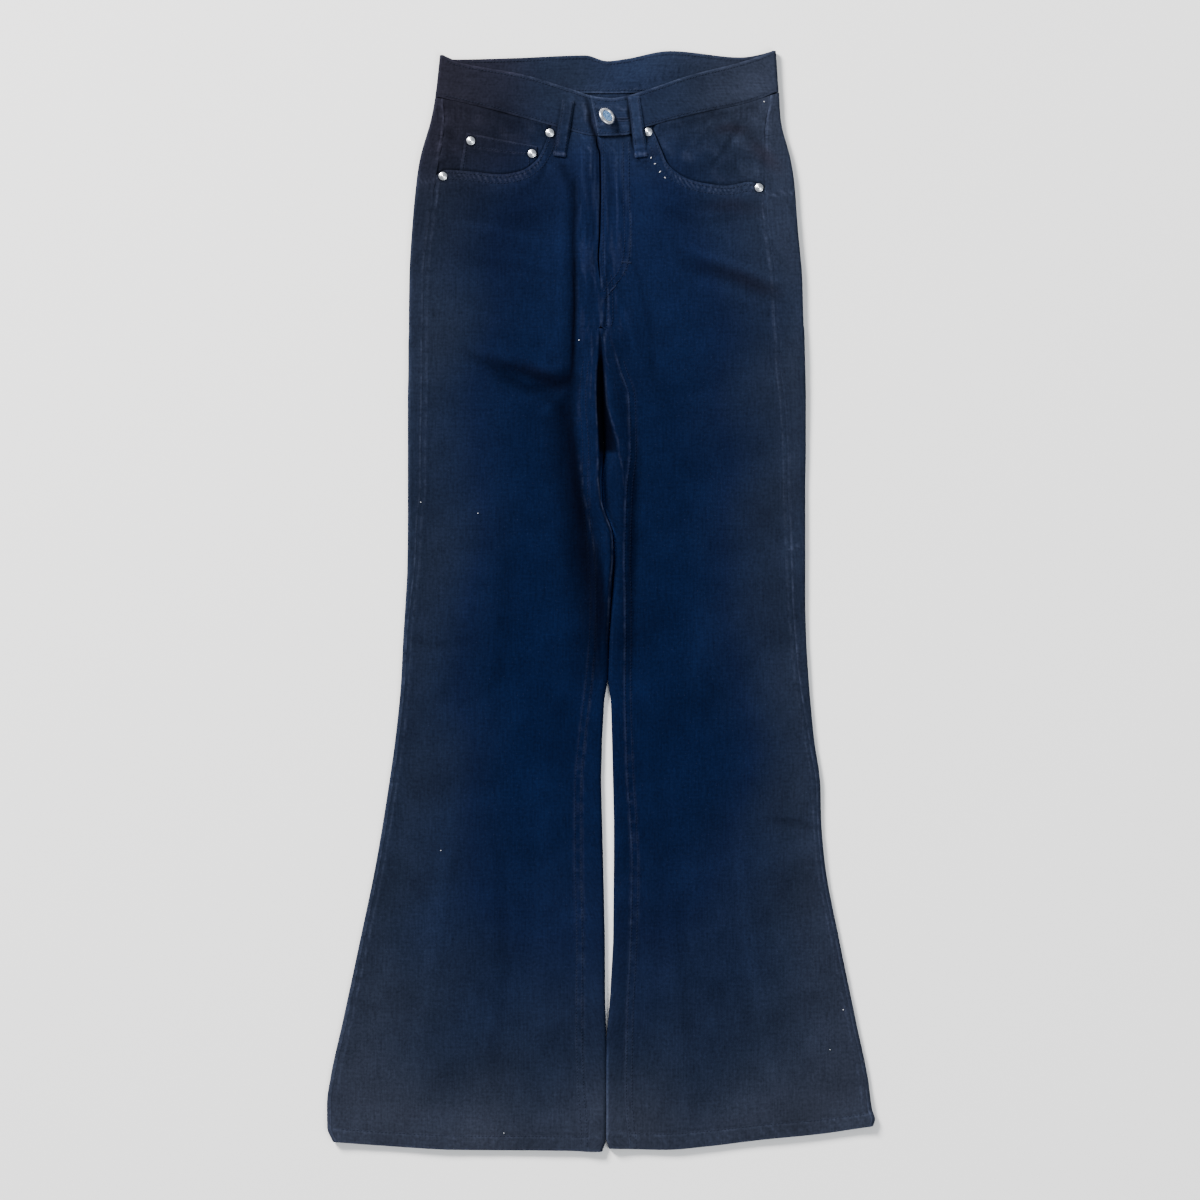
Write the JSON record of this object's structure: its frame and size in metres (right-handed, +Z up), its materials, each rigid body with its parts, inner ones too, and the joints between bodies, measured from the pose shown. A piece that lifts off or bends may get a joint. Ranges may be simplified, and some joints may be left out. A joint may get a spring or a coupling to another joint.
{
  "type": "flared jeans",
  "caption": "Five-pocket jeans with flared legs, laid flat front up: fly closed with a button, scooped front pockets with a coin pocket, yoke and patch pockets behind.",
  "frame": {"origin": "middle of the underside's box, on the surface that the jeans lie on", "axes": "+Z up through the cloth, +Y towards the waist, +X towards the wearer's left leg"},
  "size_m": [0.5202, 1.045, 0.0225],
  "materials": {
    "denim": "dark navy cotton twill, tonal stitching",
    "denim_facing": "dark navy cotton twill in the pocket mouths",
    "steel": "bright nickel-plated button and rivets"
  },
  "bodies": {
    "root": {"waistband": "denim", "yoke_right": "denim", "yoke_left": "denim", "back_panel_right": "denim", "back_panel_left": "denim", "front_panel_right": "denim", "front_panel_left": "denim", "coin_pocket": "denim", "back_pocket_right": "denim", "back_pocket_left": "denim", "belt_loop_front_right": "denim", "belt_loop_front_left": "denim", "belt_loop_back_right": "denim", "belt_loop_back_centre": "denim", "belt_loop_back_left": "denim", "pocket_facing_right": "denim_facing", "pocket_facing_left": "denim_facing", "fly_facing": "denim_facing", "button": "steel", "rivet_coin_outer": "steel", "rivet_coin_inner": "steel", "rivet_right_inner": "steel", "rivet_right_outer": "steel", "rivet_left_inner": "steel", "rivet_left_outer": "steel"}
  },
  "joints": []
}
